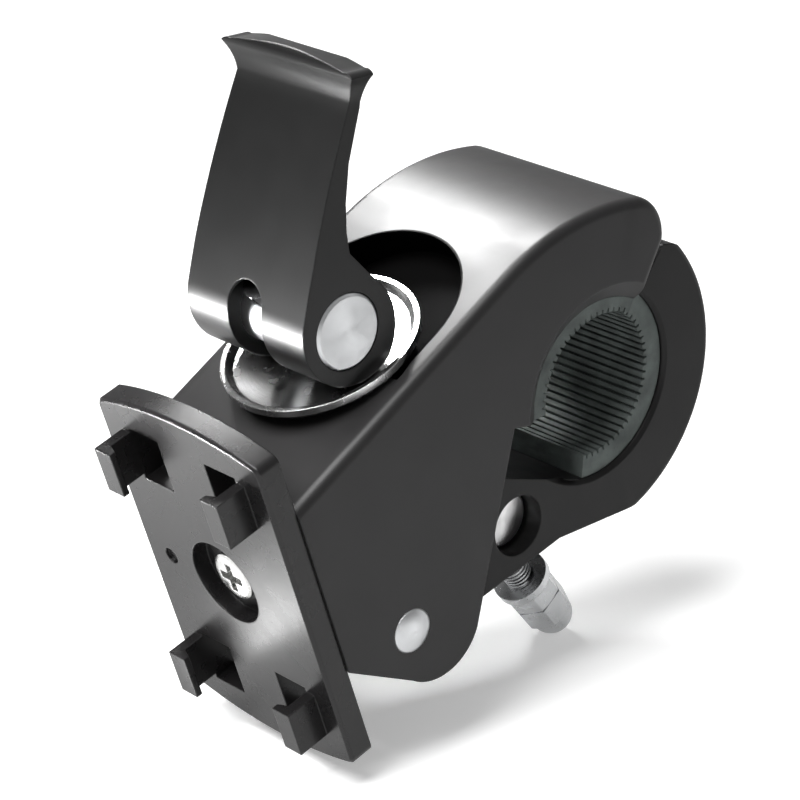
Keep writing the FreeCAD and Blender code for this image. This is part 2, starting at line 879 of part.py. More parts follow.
def make_lever():
    """Cam lever: two eccentric ears astride the rod and a lipped thumb arm."""
    body = new_body("lever", ("0",) + PIN)
    cam_y = "(-cam_offset * cos(cam_offset_angle))"
    cam_z = "(cam_offset * sin(cam_offset_angle))"
    sketch = new_sketch(body, "side", SIDE)
    corners = [
        (f"{cam_y} - cam_radius * cos(arm_lean)", f"{cam_z} + cam_radius * sin(arm_lean)"),
        ("crease_back", CREASE),
        ("0", "arm_top - lip_drop"),
        ("lip_depth * 0.3", "arm_top"),
        ("lip_depth", "arm_top - lip_drop * 0.45"),
        ("lip_depth * 0.9", "arm_top - lip_drop * 1.45"),
        ("lip_depth * 0.75", "arm_top - crease_drop * 1.12"),
    ]
    corners += [(str(back), f"{CREASE} * {part}") for back, part in ARM_BACK]
    corners.append(
        (
            f"{cam_y} - cam_radius * cos(cam_back_angle)",
            f"{cam_z} + cam_radius * sin(cam_back_angle)",
        )
    )
    arcs = {
        0: ("-arm_bow", False),
        1: ("crease_round", False),
        2: ("-lip_round", False),
        len(corners) - 2: ("-cam_radius", False),
        len(corners) - 1: ("-cam_radius", False),
    }
    outline(sketch, corners, arcs)
    tip = f"({LEVER_HALF} + tip_flare)"
    pad(body, "arm", sketch, both=f"2 * {tip} + 2 * overcut")

    # Front view: the ears, the narrower arm and its lip, flared and arched.
    sketch = new_sketch(body, "front", UPRIGHT)
    waist = f"({LEVER_HALF} - crease_inset)"
    reach = "(cam_radius + 2 * cam_offset)"
    sag = f"(arm_crown - sqrt(arm_crown ^ 2 - {tip} ^ 2))"
    corners = [
        (f"-{LEVER_HALF}", f"-{reach}"),
        (LEVER_HALF, f"-{reach}"),
        (LEVER_HALF, "cam_radius"),
        (waist, CREASE),
        (tip, "arm_top - lip_drop"),
        (f"{tip} - lip_round", f"arm_top - {sag}"),
        (f"-{tip} + lip_round", f"arm_top - {sag}"),
        (f"-{tip}", "arm_top - lip_drop"),
        (f"-{waist}", CREASE),
        (f"-{LEVER_HALF}", "cam_radius"),
    ]
    arcs = {
        3: ("-crease_round", False),
        4: ("lip_round", False),
        5: ("arm_crown", False),
        6: ("lip_round", False),
        7: ("-crease_round", False),
    }
    outline(sketch, corners, arcs)
    frame = f"({tip} + tip_flare)"
    outline(
        sketch,
        [
            (f"-{frame}", f"-{reach} - tip_flare"),
            (frame, f"-{reach} - tip_flare"),
            (frame, "arm_top + tip_flare"),
            (f"-{frame}", "arm_top + tip_flare"),
        ],
    )
    pocket(body, "front_trim", sketch, through=True)

    sketch = new_sketch(body, "slot", UPRIGHT)
    outline(
        sketch,
        [
            ("-lever_slot / 2", f"-{reach}"),
            ("lever_slot / 2", f"-{reach}"),
            ("lever_slot / 2", "lever_slot_top - lever_slot / 2"),
            ("-lever_slot / 2", "lever_slot_top - lever_slot / 2"),
        ],
        {2: (f"lever_slot / 2 * {ROUND_END}", False)},
    )
    pocket(body, "slot_cut", sketch, through=True)
    sketch = new_sketch(body, "head_room", SIDE)
    circle(sketch, "head_room")
    pocket(body, "head_cut", sketch, both="lever_slot")
    sketch = new_sketch(body, "pin_hole", SIDE)
    circle(sketch, "pin_dia / 2 + running_gap")
    pocket(body, "pin_bore", sketch, through=True)
    return body


def make_claw_plate():
    """Phone adapter plate with a sunk screw recess and four hooked claws."""
    body = new_body("claw_plate", ("0", "-plate_front", "-plate_drop"), "90 + plate_lean")
    half = "plate_width / 2"
    sag = f"(plate_crown - sqrt(plate_crown ^ 2 - ({half}) ^ 2))"
    shoulder = f"(plate_height / 2 - {sag})"
    sketch = new_sketch(body, "face", FLAT)
    outline(
        sketch,
        [
            (f"-{half}", f"-{shoulder}"),
            (half, f"-{shoulder}"),
            (half, shoulder),
            (f"-{half}", shoulder),
        ],
        {0: ("plate_crown", False), 2: ("plate_crown", False)},
    )
    pad(body, "slab", sketch, one="plate_thick")

    def upright(edge):
        return abs(edge.BoundBox.ZLength - worth("plate_thick")) < 0.01

    soften(body, "corners", "Fillet", "plate_corner", upright)

    def front_rim(edge):
        box = edge.BoundBox
        return box.ZMin > worth("plate_thick") - 0.01 and box.ZLength < 0.01

    soften(body, "rim", "Chamfer", "plate_edge", front_rim)

    wall_in = "(claw_span / 2 - claw_wall)"
    for side in ("1", "-1"):
        for end in ("1", "-1"):
            label = f"{'right' if side == '1' else 'left'}_{'top' if end == '1' else 'bottom'}"
            row = Plane("XZ_Plane", ("0", "0", f"-{end} * claw_row"))
            sketch = new_sketch(body, f"{label}_claw", row)
            outline(
                sketch,
                [
                    (f"{side} * claw_span / 2", "plate_thick - 1"),
                    (f"{side} * claw_span / 2", "plate_thick + claw_height"),
                    (f"{side} * ({wall_in} - claw_lip)", "plate_thick + claw_height"),
                    (
                        f"{side} * ({wall_in} - claw_lip)",
                        "plate_thick + claw_height - claw_lip_thick * 0.6",
                    ),
                    (f"{side} * {wall_in}", "plate_thick + claw_height - claw_lip_thick"),
                    (f"{side} * {wall_in}", "plate_thick - 1"),
                ],
            )
            pad(body, f"{label}_hook", sketch, both="claw_length")
            sketch = new_sketch(body, f"{label}_window", FLAT)
            middle = f"{side} * ({wall_in} - window_width / 2)"
            corners = [
                (
                    f"{middle} + {right} * window_width / 2",
                    f"{end} * claw_row + {up} * window_length / 2",
                )
                for right, up in ((-1, -1), (1, -1), (1, 1), (-1, 1))
            ]
            outline(sketch, corners)
            pocket(body, f"{label}_opening", sketch, one="plate_thick", reverse=True)

    sketch = new_sketch(body, "recess", Plane("XY_Plane", ("0", "0", "plate_thick")))
    circle(sketch, "recess_dia / 2")
    pocket(body, "recess_cut", sketch, one="plate_thick - recess_floor")
    sketch = new_sketch(body, "screw_hole", FLAT)
    circle(sketch, "screw_hole / 2")
    pocket(body, "screw_bore", sketch, through=True)
    sketch = new_sketch(body, "dimple", Plane("XY_Plane", ("0", "0", "plate_thick")))
    circle(sketch, "dimple_dia / 2", ("-dimple_side", "0"))
    pocket(body, "dimple_cut", sketch, one="dimple_depth")
    return body


def plate_body(name):
    """Body in the plate's frame: its Z points out of the plate's front."""
    return new_body(name, ("0", "-plate_front", "-plate_drop"), "90 + plate_lean")


def make_plate_screw():
    """Pan-head screw with a cross recess that holds the claw plate."""
    body = plate_body("plate_screw")
    sketch = new_sketch(body, "section", UPRIGHT)
    top = "(recess_floor + screw_head_height)"
    outline(
        sketch,
        [
            ("0", "-front_wall - screw_tip"),
            ("screw_dia / 2 - screw_chamfer", "-front_wall - screw_tip"),
            ("screw_dia / 2", "-front_wall - screw_tip + screw_chamfer"),
            ("screw_dia / 2", "recess_floor"),
            ("screw_head_dia / 2", "recess_floor"),
            ("screw_head_dia / 2", f"{top} - screw_chamfer"),
            ("screw_head_dia / 2 - 2 * screw_chamfer", top),
            ("0", top),
        ],
    )
    spin(body, "turned", sketch, "V_Axis")
    sketch = new_sketch(body, "cross", Plane("XY_Plane", ("0", "0", top)))
    arm = "screw_head_dia * 0.3"
    slim = "screw_head_dia * 0.08"
    outline(
        sketch,
        [
            (slim, slim),
            (arm, slim),
            (arm, f"-{slim}"),
            (slim, f"-{slim}"),
            (slim, f"-{arm}"),
            (f"-{slim}", f"-{arm}"),
            (f"-{slim}", f"-{slim}"),
            (f"-{arm}", f"-{slim}"),
            (f"-{arm}", slim),
            (f"-{slim}", slim),
            (f"-{slim}", arm),
            (slim, arm),
        ],
    )
    pocket(body, "cross_cut", sketch, one="screw_head_height * 0.75")
    return body


def make_plate_nut():
    """Hexagon nut let into the inner side of the housing's front wall."""
    body = plate_body("plate_nut")
    sketch = new_sketch(body, "hexagon", Plane("XY_Plane", ("0", "0", "-front_wall")))
    outline(sketch, hexagon("plate_nut_flats"))
    circle(sketch, "screw_dia / 2 + running_gap / 3")
    pad(body, "prism", sketch, one="plate_nut_height")
    return body


parts = [
    make_housing(),
    make_liner("upper_liner", SEAT, UPPER_LINER, "(-seat_low_angle)", "tail_angle"),
    make_lower_jaw(),
    make_liner("lower_liner", JAW_SEAT, LOWER_LINER, "jaw_tip_angle", "jaw_lip_angle"),
    make_pivot_pin(),
    make_barrel(),
    make_lever_pin(),
    make_draw_rod(),
    make_nut_washer(),
    make_lock_nut(),
    make_cap_nut(),
    make_cup_washer(),
    make_lever(),
    make_claw_plate(),
    make_plate_screw(),
    make_plate_nut(),
]

doc.recompute()
for item in doc.Objects:
    if "Invalid" in item.State or "Error" in item.State:
        raise RuntimeError(f"{item.Label} failed to build")
for part in parts:
    if part.Shape.isNull() or not part.Shape.isValid() or len(part.Shape.Solids) != 1:
        raise RuntimeError(f"{part.Label} has no sound solid")

os.makedirs("parts", exist_ok=True)
for part in parts:
    part.Shape.exportStep(f"parts/{part.Label}.step")
    print(part.Label, round(part.Shape.Volume, 1))
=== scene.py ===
"""Studio scene of a bicycle phone mount, dressed on its packed CAD nodes."""
import json
import math

import bmesh
import bpy
from bpy.props import (
    FloatProperty,
    FloatVectorProperty,
    IntProperty,
    PointerProperty,
)
from mathutils import Matrix, Quaternion, Vector


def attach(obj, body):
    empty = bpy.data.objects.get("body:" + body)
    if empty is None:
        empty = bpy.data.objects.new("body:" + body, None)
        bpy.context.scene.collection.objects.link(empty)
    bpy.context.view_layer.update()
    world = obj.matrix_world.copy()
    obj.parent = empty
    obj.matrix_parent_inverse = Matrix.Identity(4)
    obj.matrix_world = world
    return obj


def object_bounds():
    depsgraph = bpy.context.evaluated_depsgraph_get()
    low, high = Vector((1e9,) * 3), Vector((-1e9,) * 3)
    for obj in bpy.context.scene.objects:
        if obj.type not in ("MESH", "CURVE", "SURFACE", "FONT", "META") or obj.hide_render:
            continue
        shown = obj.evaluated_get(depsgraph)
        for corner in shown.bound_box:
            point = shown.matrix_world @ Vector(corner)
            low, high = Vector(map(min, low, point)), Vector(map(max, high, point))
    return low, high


bl_info = {
    "name": "Phone Mount Studio",
    "version": (1, 0, 0),
    "blender": (4, 5, 0),
    "location": "View3D > Sidebar > Phone Mount",
    "description": "Finishes, rod thread and studio for a bicycle phone mount",
    "category": "Object",
}

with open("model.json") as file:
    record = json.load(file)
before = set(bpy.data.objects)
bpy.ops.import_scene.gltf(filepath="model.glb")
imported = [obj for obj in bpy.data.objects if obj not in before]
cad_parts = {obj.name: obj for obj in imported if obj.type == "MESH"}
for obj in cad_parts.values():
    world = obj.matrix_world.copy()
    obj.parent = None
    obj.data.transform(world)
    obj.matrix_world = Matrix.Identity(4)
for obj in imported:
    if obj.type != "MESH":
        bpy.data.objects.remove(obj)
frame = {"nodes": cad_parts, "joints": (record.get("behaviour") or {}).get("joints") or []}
CAD_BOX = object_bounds()
NODES = frame["nodes"]
MM = 0.001
UP = Vector((0.0, 0.0, 1.0))
ALONG_BAR = Vector((1.0, 0.0, 0.0))
WHITE = (1.0, 1.0, 1.0)

# Places of the mechanism, from the joints of the packed record.
JOINTS = {joint["name"]: joint for joint in frame["joints"]}
LEVER_PIN = Vector(JOINTS["lever_turn"]["pos_m"])
JAW_PIVOT = Vector(JOINTS["jaw_swing"]["pos_m"])
BARREL = Vector(JOINTS["barrel_turn"]["pos_m"])
ROD_UP = Vector(JOINTS["pin_lift"]["axis"]).normalized()

# Dished washer under the lever's cam: how far it lies below the lever pin, and how far
# its own axis leans to the front.
DISH_DEPTH = 10.17 * MM
DISH_LEAN = math.radians(24.0)
DISH = LEVER_PIN - ROD_UP * DISH_DEPTH
DISH_UP = Vector((0.0, -math.sin(DISH_LEAN), math.cos(DISH_LEAN)))

# Pocket of the housing behind the washer, a U when seen along the rod: half its width,
# its depth behind the lever pin, and the slack that takes in its walls. Then the shares
# of the housing's gloss and colour left on its walls: painted shade that darkens the
# pocket.
POCKET_HALF = 16.4 * MM
POCKET_BACK = 26.0 * MM
POCKET_SLACK = 0.15 * MM
POCKET_SHADE_GLOSS = 0.1
POCKET_SHADE_TINT = 0.2

# Values between which a noise texture mostly lies.
NOISE_LOW = 0.3
NOISE_HIGH = 0.7

# Scales of the turned rings on pins and washer, and the strength of the pins' fan.
PIN_RINGS = 900.0
DISH_RINGS = 500.0
PIN_FAN = 0.8

# Sharpest bend of a CAD surface that is shaded smooth.
CREASE = math.radians(28.0)

# Steps in a turn of the thread, and the share of its width that its crest keeps.
THREAD_STEPS = 28
THREAD_FLAT = 0.12

# Distances from the bar's centre between which the floor grows whiter, and the white
# that is added beyond the second.
GLOW_NEAR = 0.3
GLOW_FAR = 0.9
FAR_GLOW = 0.8

# Height of the lamps that lie just over the floor.
OVER_FLOOR = -0.0515


def colour(name, description, default):
    return FloatVectorProperty(
        name=name,
        description=description,
        subtype="COLOR",
        size=3,
        min=0.0,
        max=1.0,
        default=default,
    )


def share(name, description, default):
    return FloatProperty(
        name=name,
        description=description,
        subtype="FACTOR",
        min=0.0,
        max=1.0,
        default=default,
    )


def length(name, description, default):
    return FloatProperty(
        name=name,
        description=description,
        subtype="DISTANCE",
        unit="LENGTH",
        default=default,
    )


def angle(name, description, degrees):
    return FloatProperty(
        name=name,
        description=description,
        subtype="ANGLE",
        default=math.radians(degrees),
    )


def strength(name, description, default, unit="NONE"):
    return FloatProperty(
        name=name, description=description, unit=unit, min=0.0, default=default
    )


class MountPlastics(bpy.types.PropertyGroup):
    """Colours and gloss of the moulded pieces."""

    housing: colour("Housing", "Charcoal of the housing", (0.0125, 0.0120, 0.0123))
    jaw: colour("Jaw", "Black of the hook jaw", (0.0050, 0.0047, 0.0048))
    lever: colour("Lever", "Black of the cam lever", (0.0065, 0.0065, 0.0065))
    plate: colour("Plate", "Black of the claw plate", (0.0085, 0.0080, 0.0083))
    liner: colour("Liners", "Green black of the liners", (0.090, 0.104, 0.099))
    housing_rough: share("Housing roughness", "Roughness of the housing", 0.40)
    jaw_rough: share("Jaw roughness", "Roughness of the hook jaw", 0.42)
    lever_rough: share("Lever roughness", "Roughness of the cam lever", 0.34)
    plate_rough: share("Plate roughness", "Roughness of the claw plate", 0.27)
    liner_rough: share("Liner roughness", "Roughness of the liners", 0.72)
    housing_gloss: share("Housing gloss", "Specular level of the housing", 0.34)
    jaw_gloss: share("Jaw gloss", "Specular level of the hook jaw", 0.24)
    lever_gloss: share("Lever gloss", "Specular level of the cam lever", 0.32)
    plate_gloss: share("Plate gloss", "Specular level of the claw plate", 0.38)


class MountMetals(bpy.types.PropertyGroup):
    """Colours and gloss of the metal pieces."""

    turned: colour("Turned steel", "Colour of both pins", (0.66, 0.67, 0.68))
    zinc: colour("Zinc", "Colour of the nuts and the thread", (0.66, 0.67, 0.68))
    shank: colour("Shank", "Colour of the rod's shank and eye", (0.16, 0.16, 0.165))
    # The barrel is the pins' turned steel made lighter: painted light on its end, which
    # sits in a hole.
    barrel: colour("Barrel", "Colour of the jaw's barrel", (0.94, 0.94, 0.94))
    bright: colour("Bright plate", "Colour of the dished washer", (0.62, 0.62, 0.62))
    screw: colour("Screw", "Colour of the plate screw", (0.62, 0.62, 0.61))
    turned_rough: share("Pin roughness", "Roughness of the pins and barrel", 0.34)
    zinc_rough: share("Nut roughness", "Roughness of the rod, nuts and screw", 0.24)
    bright_rough: share("Washer roughness", "Roughness of the dished washer", 0.22)


class RodThread(bpy.types.PropertyGroup):
    """Thread on the lower part of the pull rod."""

    pitch: length("Pitch", "Distance from turn to turn", 0.8 * MM)
    core: length("Root radius", "Radius at the foot of the thread", 2.40 * MM)
    crest: length("Crest radius", "Radius at the top of the thread", 2.62 * MM)
    start: length("Start", "Distance from the lever pin to the first turn", 66.0 * MM)
    turns: IntProperty(
        name="Turns", description="Number of turns", min=1, max=40, default=16
    )


class Studio(bpy.types.PropertyGroup):
    """Camera, floor and lights."""

    azimuth: angle("Azimuth", "Camera's turn from the front towards +X", 48.0)
    elevation: angle("Elevation", "Camera's angle above the horizon", 22.0)
    distance: length("Distance", "From the bar's centre to the camera", 0.496569)
    side: length("Side step", "Camera's move along its own right", -0.020634)
    rise: length("Rise", "Camera's move along its own up", -0.007008)
    lens: strength("Lens", "Focal length of the camera", 135.0, unit="CAMERA")
    floor_half: length("Floor half size", "Half the side of the floor", 3.0)
    floor_gap: length("Floor gap", "Air under the lowest point", 0.0002)
    floor: colour("Floor", "Colour with which it lights the mount", (0.50, 0.50, 0.50))
    floor_seen: colour("Seen floor", "Colour that the camera sees", (0.90, 0.90, 0.90))
    floor_glow: strength("Floor glow", "White added near the mount", 0.32)
    mirrored: share("Mirrored glow", "Share of the glow that reflections see", 0.9)
    world: strength("World", "Strength of the sky", 0.30)
    key: strength("Key", "Power of the near lamp", 0.070, unit="POWER")
    top: strength("Top", "Power of the upper lamp", 9.5, unit="POWER")
    fill: strength("Fill", "Power of the low front lamp", 0.024, unit="POWER")
    bounce: strength("Bounce", "Power of the wide floor lamp", 0.008, unit="POWER")
    strip: strength("Strip", "Power of the narrow floor lamp", 0.030, unit="POWER")


class Shader:
    """Node tree of one material, with its Principled shader."""

    def __init__(self, name, rough, metallic=0.0):
        self.material = bpy.data.materials.new(name)
        self.material.use_nodes = True
        self.tree = self.material.node_tree
        self.main = self.tree.nodes["Principled BSDF"]
        self.put("Roughness", rough)
        self.put("Metallic", metallic)
        self.place = self.add("ShaderNodeTexCoord").outputs["Object"]

    def feed(self, socket, value):
        """Link a socket to another node's output, or set it to a number or colour."""
        if isinstance(value, bpy.types.NodeSocket):
            self.tree.links.new(value, socket)
        elif socket.type == "RGBA":
            socket.default_value = (*value, 1.0)
        else:
            socket.default_value = value

    def put(self, key, value):
        """Set or link one input of the Principled shader."""
        self.feed(self.main.inputs[key], value)

    def add(self, kind, inputs=None, **settings):
        """New node with its settings and its inputs."""
        node = self.tree.nodes.new(kind)
        for key, value in settings.items():
            setattr(node, key, value)
        for key, value in (inputs or {}).items():
            self.feed(node.inputs[key], value)
        return node

    def maths(self, operation, *terms):
        node = self.add("ShaderNodeMath", dict(enumerate(terms)), operation=operation)
        return node.outputs["Value"]

    def distance(self, vector):
        node = self.add("ShaderNodeVectorMath", {0: vector}, operation="LENGTH")
        return node.outputs["Value"]

    def ranged(self, value, start, end, low, high):
        """Value taken from one range to another."""
        inputs = {
            "Value": value,
            "From Min": start,
            "From Max": end,
            "To Min": low,
            "To Max": high,
        }
        return self.add("ShaderNodeMapRange", inputs).outputs["Result"]

    def turned_to(self, centre, axis):
        """Coordinates from a centre, with Z along an axis."""
        inputs = {
            "Vector": self.place,
            "Location": centre,
            "Rotation": UP.rotation_difference(axis).to_euler(),
        }
        node = self.add("ShaderNodeMapping", inputs, vector_type="TEXTURE")
        return node.outputs["Vector"]

    def noise(self, scale, detail, stretch=None):
        place = self.place
        if stretch is not None:
            mapping = self.add("ShaderNodeMapping", {"Vector": place, "Scale": stretch})
            place = mapping.outputs["Vector"]
        inputs = {"Vector": place, "Scale": scale, "Detail": detail}
        return self.add("ShaderNodeTexNoise", inputs).outputs["Fac"]

    def ramp(self, source, low, high):
        """Blend from one colour to another along a noise."""
        node = self.add("ShaderNodeValToRGB", {"Fac": source})
        first, last = node.color_ramp.elements
        first.position = NOISE_LOW
        last.position = NOISE_HIGH
        first.color = (*low, 1.0)
        last.color = (*high, 1.0)
        return node.outputs["Color"]

    def spread(self, source, low, high):
        """Noise stretched to a range."""
        return self.ranged(source, NOISE_LOW, NOISE_HIGH, low, high)

    def blend(self, factor, low, high):
        """Colour between two ends."""
        node = self.add("ShaderNodeMix", data_type="RGBA")
        sockets = {socket.identifier: socket for socket in node.inputs}
        self.feed(sockets["Factor_Float"], factor)
        self.feed(sockets["A_Color"], low)
        self.feed(sockets["B_Color"], high)
        results = {socket.identifier: socket for socket in node.outputs}
        return results["Result_Color"]

    def bump(self, source, depth, amount, base):
        inputs = {
            "Height": source,
            "Distance": depth,
            "Strength": amount,
            "Normal": base,
        }
        return self.add("ShaderNodeBump", inputs).outputs["Normal"]

    def soft_edge(self, radius):
        node = self.add("ShaderNodeBevel", {"Radius": radius}, samples=4)
        return node.outputs["Normal"]


def scaled(tint, factor):
    return tuple(min(1.0, part * factor) for part in tint)


def pocket_shade_mask(shader):
    """Mask of the painted shade: one on the walls of the pocket behind the washer, nought
    elsewhere.
    """
    place = shader.turned_to(LEVER_PIN, ROD_UP)
    parts = shader.add("ShaderNodeSeparateXYZ", {"Vector": place}).outputs
    beyond = shader.maths("SUBTRACT", parts["Y"], POCKET_BACK - POCKET_HALF)
    reach = shader.maths("MAXIMUM", beyond, 0.0)
    flat = shader.add("ShaderNodeCombineXYZ", {"X": parts["X"], "Y": reach})
    span = shader.distance(flat.outputs["Vector"])
    near = shader.maths("LESS_THAN", span, POCKET_HALF + POCKET_SLACK)
    behind = shader.maths("GREATER_THAN", parts["Y"], 0.0)
    return shader.maths("MULTIPLY", near, behind)


def moulded(name, tint, rough, gloss, shade_pocket=False):
    """Satin plastic with faint clouding and a fine grain, with painted shade in the
    pocket.
    """
    shader = Shader(name, rough)
    clouds = shader.noise(45.0, 3.0)
    shade = shader.ramp(clouds, scaled(tint, 0.86), scaled(tint, 1.16))
    shader.put("Specular IOR Level", gloss)
    if shade_pocket:
        # Painted shade: darker colour and less gloss on the pocket's walls.
        shaded = pocket_shade_mask(shader)
        level = shader.ranged(shaded, 0.0, 1.0, gloss, gloss * POCKET_SHADE_GLOSS)
        shader.put("Specular IOR Level", level)
        shade = shader.blend(shaded, shade, scaled(tint, POCKET_SHADE_TINT))
    shader.put("Base Color", shade)
    wear = shader.noise(160.0, 4.0)
    shader.put("Roughness", shader.spread(wear, rough - 0.02, rough + 0.03))
    grain = shader.noise(900.0, 2.0)
    edge = shader.soft_edge(0.4 * MM)
    shader.put("Normal", shader.bump(grain, 0.012 * MM, 0.5, edge))
    return shader.material


def rubber(name, tint, rough):
    """Matt rubber with a coarse bloom and pores."""
    shader = Shader(name, rough)
    shader.put("Specular IOR Level", 0.35)
    bloom = shader.noise(220.0, 5.0)
    shade = shader.ramp(bloom, scaled(tint, 0.8), scaled(tint, 1.7))
    shader.put("Base Color", shade)
    wear = shader.noise(400.0, 3.0)
    shader.put("Roughness", shader.spread(wear, rough - 0.1, rough + 0.1))
    pores = shader.noise(1100.0, 4.0, (0.25, 1.0, 1.0))
    edge = shader.soft_edge(0.2 * MM)
    shader.put("Normal", shader.bump(pores, 0.12 * MM, 0.8, edge))
    return shader.material


def steel(name, tint, rough, lathe=None, fan=0.0):
    """Steel with smudges and fine scratches.

    A lathe is a centre, an axis and a scale, and gives turned rings. A fan spreads the
    highlights round the middle of an end that faces along the bar.
    """
    shader = Shader(name, rough, metallic=1.0)
    if fan:
        shader.put("Anisotropic", fan)
        tangent = shader.add("ShaderNodeTangent", direction_type="RADIAL", axis="X")
        shader.put("Tangent", tangent.outputs["Tangent"])
    smudge = shader.noise(130.0, 4.0)
    shade = shader.ramp(smudge, scaled(tint, 0.88), scaled(tint, 1.06))
    shader.put("Base Color", shade)
    wear = shader.noise(420.0, 3.0)
    shader.put("Roughness", shader.spread(wear, rough - 0.05, rough + 0.08))
    normal = shader.soft_edge(0.25 * MM)
    if lathe is not None:
        centre, axis, rings = lathe
        inputs = {
            "Vector": shader.turned_to(centre, axis),
            "Scale": rings,
            "Distortion": 0.6,
            "Detail": 2.0,
        }
        wave = shader.add(
            "ShaderNodeTexWave", inputs, wave_type="RINGS", rings_direction="Z"
        )
        normal = shader.bump(wave.outputs["Fac"], 0.01 * MM, 0.5, normal)
    scratch = shader.noise(700.0, 3.0)
    shader.put("Normal", shader.bump(scratch, 0.006 * MM, 0.5, normal))
    return shader.material


def dress(node, material):
    """Give a CAD node its material and smooth shading between its sharp edges."""
    obj = NODES[node]
    obj.data.materials.clear()
    obj.data.materials.append(material)
    for face in obj.data.polygons:
        face.use_smooth = True
    weld = obj.modifiers.new("merge", "WELD")
    weld.merge_threshold = 1e-6
    split = obj.modifiers.new("creases", "EDGE_SPLIT")
    split.split_angle = CREASE


def finish_piece(name, made, body, material):
    """Object at the origin from a bmesh, riding on its body."""
    bmesh.ops.remove_doubles(made, verts=made.verts, dist=1e-7)
    bmesh.ops.recalc_face_normals(made, faces=made.faces)
    mesh = bpy.data.meshes.new(name)
    made.to_mesh(mesh)
    made.free()
    for face in mesh.polygons:
        face.use_smooth = True
    obj = bpy.data.objects.new(name, mesh)
    bpy.context.scene.collection.objects.link(obj)
    mesh.materials.append(material)
    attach(obj, body)


def rod_place(depth):
    """Matrix of a place on the pull rod below the lever pin, with Z up the rod."""
    turn = UP.rotation_difference(ROD_UP).to_matrix().to_4x4()
    return Matrix.Translation(LEVER_PIN - ROD_UP * depth) @ turn


def thread_mesh(sizes):
    """Ridge of a flat-topped section, swept down the rod in a helix."""
    made = bmesh.new()
    half = sizes.pitch * 0.5
    flat = half * THREAD_FLAT
    corners = (
        (sizes.core, -half),
        (sizes.crest, -flat),
        (sizes.crest, flat),
        (sizes.core, half),
    )
    verts = [made.verts.new((radius, 0.0, height)) for radius, height in corners]
    edges = [made.edges.new(pair) for pair in zip(verts, verts[1:] + verts[:1])]
    swept = bmesh.ops.spin(
        made,
        geom=verts + edges,
        cent=(0.0, 0.0, 0.0),
        axis=UP,
        dvec=(0.0, 0.0, -sizes.pitch / THREAD_STEPS),
        angle=2 * math.pi * sizes.turns,
        steps=THREAD_STEPS * sizes.turns,
        use_merge=False,
    )
    made.faces.new(verts)
    last = [item for item in swept["geom_last"] if isinstance(item, bmesh.types.BMVert)]
    bmesh.ops.contextual_create(made, geom=last)
    bmesh.ops.transform(made, matrix=rod_place(sizes.start), verts=made.verts)
    return made


class PieceOperator:
    bl_options = {"REGISTER", "UNDO"}


class MOUNT_OT_plastics(PieceOperator, bpy.types.Operator):
    """Finish the housing, jaw, lever and claw plate as moulded plastic"""

    bl_idname = "mount.plastics"
    bl_label = "Moulded Pieces"

    def execute(self, context):
        look = context.scene.mount_plastics
        for node, piece in (
            ("housing", "housing"),
            ("lower_jaw", "jaw"),
            ("lever", "lever"),
            ("claw_plate", "plate"),
        ):
            tint = getattr(look, piece)
            rough = getattr(look, f"{piece}_rough")
            gloss = getattr(look, f"{piece}_gloss")
            # Only the housing gets painted shade in its pocket.
            shade_pocket = node == "housing"
            dress(node, moulded(f"{piece}_plastic", tint, rough, gloss, shade_pocket))
        return {"FINISHED"}


class MOUNT_OT_liners(PieceOperator, bpy.types.Operator):
    """Finish both ribbed liners as rubber"""

    bl_idname = "mount.liners"
    bl_label = "Rubber Liners"

    def execute(self, context):
        look = context.scene.mount_plastics
        material = rubber("liner_rubber", look.liner, look.liner_rough)
        for node in ("upper_liner", "lower_liner"):
            dress(node, material)
        return {"FINISHED"}


class MOUNT_OT_pins(PieceOperator, bpy.types.Operator):
    """Finish the lever pin, jaw pivot and barrel as turned steel"""

    bl_idname = "mount.pins"
    bl_label = "Pins"

    def execute(self, context):
        look = context.scene.mount_metals
        for node, tint, centre in (
            ("lever_pin", look.turned, LEVER_PIN),
            ("jaw_pivot_pin", look.turned, JAW_PIVOT),
            # The barrel's lighter tint is painted light.
            ("jaw_barrel", look.barrel, BARREL),
        ):
            lathe = (centre, ALONG_BAR, PIN_RINGS)
            turned = steel(f"{node}_steel", tint, look.turned_rough, lathe, PIN_FAN)
            dress(node, turned)
        return {"FINISHED"}


class MOUNT_OT_rod_and_nuts(PieceOperator, bpy.types.Operator):
    """Finish the nuts and their washer as bright zinc, and the pull rod darker"""

    bl_idname = "mount.rod_and_nuts"
    bl_label = "Rod and Nuts"

    def execute(self, context):
        look = context.scene.mount_metals
        zinc = steel("zinc_steel", look.zinc, look.zinc_rough)
        for node in ("nut_washer", "lock_nut", "cap_nut", "plate_nut"):
            dress(node, zinc)
        dress("draw_rod", steel("shank_steel", look.shank, look.zinc_rough))
        return {"FINISHED"}


class MOUNT_OT_rod_thread(PieceOperator, bpy.types.Operator):
    """Wind the thread round the lower part of the pull rod"""

    bl_idname = "mount.rod_thread"
    bl_label = "Rod Thread"

    def execute(self, context):
        look = context.scene.mount_metals
        made = thread_mesh(context.scene.mount_thread)
        material = steel("thread_steel", look.zinc, look.zinc_rough)
        finish_piece("rod_thread", made, "rod", material)
        return {"FINISHED"}


class MOUNT_OT_dished_washer(PieceOperator, bpy.types.Operator):
    """Finish the dished washer as polished plate"""

    bl_idname = "mount.dished_washer"
    bl_label = "Dished Washer"

    def execute(self, context):
        look = context.scene.mount_metals
        lathe = (DISH, DISH_UP, DISH_RINGS)
        bright = steel("washer_plate", look.bright, look.bright_rough, lathe)
        dress("cup_washer", bright)
        return {"FINISHED"}


